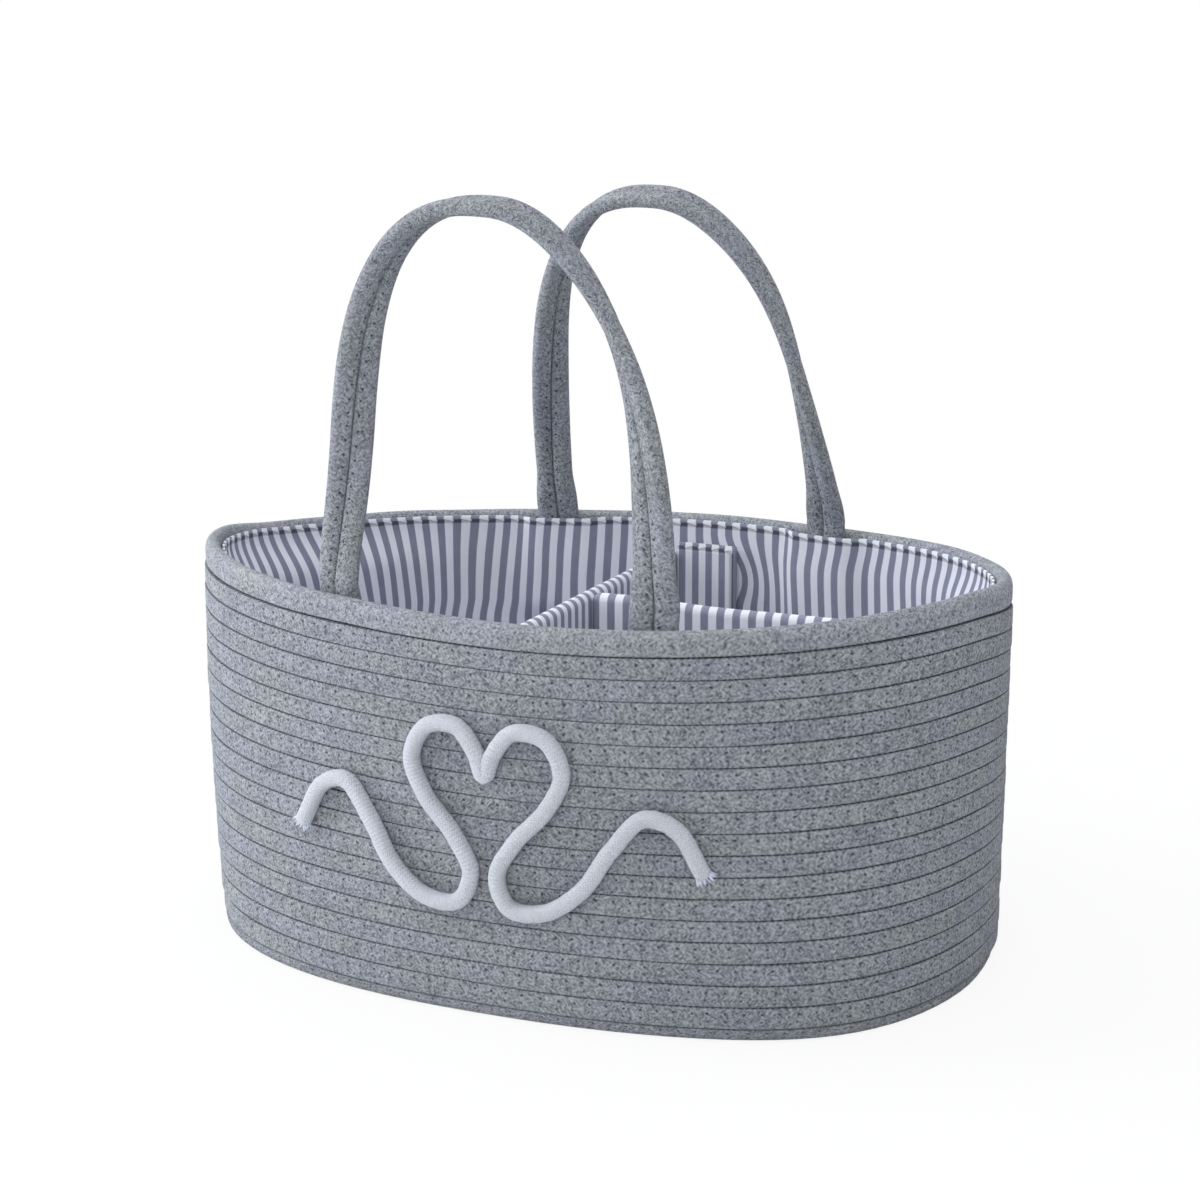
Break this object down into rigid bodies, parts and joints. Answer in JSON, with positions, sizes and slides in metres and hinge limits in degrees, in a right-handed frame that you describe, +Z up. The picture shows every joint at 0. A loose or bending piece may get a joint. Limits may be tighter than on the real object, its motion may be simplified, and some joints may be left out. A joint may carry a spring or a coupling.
{
  "type": "diaper caddy",
  "caption": "Oval coiled-rope caddy with two fold-down rope handles, a striped cloth lining and a lift-out T-shaped divider.",
  "frame": {"origin": "centre of the base, on the surface that the basket stands on", "axes": "+X along the long side, to the right as seen from the front; -Y to the front with the white ornament; +Z up"},
  "size_m": [0.381, 0.271, 0.3412],
  "materials": {
    "rope": "heather grey braided cotton rope",
    "lining": "cotton cloth with grey and white stripes",
    "board": "plain stiffening board",
    "strip": "grey hook-and-loop tape",
    "white_cord": "white braided cotton cord"
  },
  "bodies": {
    "basket": {"rope_base": "rope", "rope_wall": "rope", "rope_rim": "rope", "lining_wall": "lining", "lining_floor": "lining", "front_left_handle_foot": "rope", "front_right_handle_foot": "rope", "back_left_handle_foot": "rope", "back_right_handle_foot": "rope", "front_loop_strip": "strip", "back_loop_strip": "strip", "end_loop_strip": "strip", "white_cord_ornament": "white_cord"},
    "front_handle": {"front_handle_inner_rope": "rope", "front_handle_outer_rope": "rope"},
    "back_handle": {"back_handle_inner_rope": "rope", "back_handle_outer_rope": "rope"},
    "divider": {"cross_panel_cover": "lining", "cross_panel_board": "board", "long_panel_cover": "lining", "long_panel_board": "board", "cross_panel_front_flap": "lining", "cross_panel_back_flap": "lining", "long_panel_end_flap": "lining", "cross_panel_front_hook_strip": "strip", "cross_panel_back_hook_strip": "strip", "long_panel_end_hook_strip": "strip"}
  },
  "joints": [
    {"name": "front_handle_swing", "type": "hinge", "parent": "basket", "child": "front_handle", "pos_m": [0, -0.10567, 0.17598], "axis": [1, 0, 0], "range_deg": [-25, 90]},
    {"name": "back_handle_swing", "type": "hinge", "parent": "basket", "child": "back_handle", "pos_m": [0, 0.10567, 0.17598], "axis": [1, 0, 0], "range_deg": [-102, 13]},
    {"name": "divider_lift", "type": "slide", "parent": "basket", "child": "divider", "axis": [0, 0, 1], "range_m": [0, 0.16]}
  ]
}
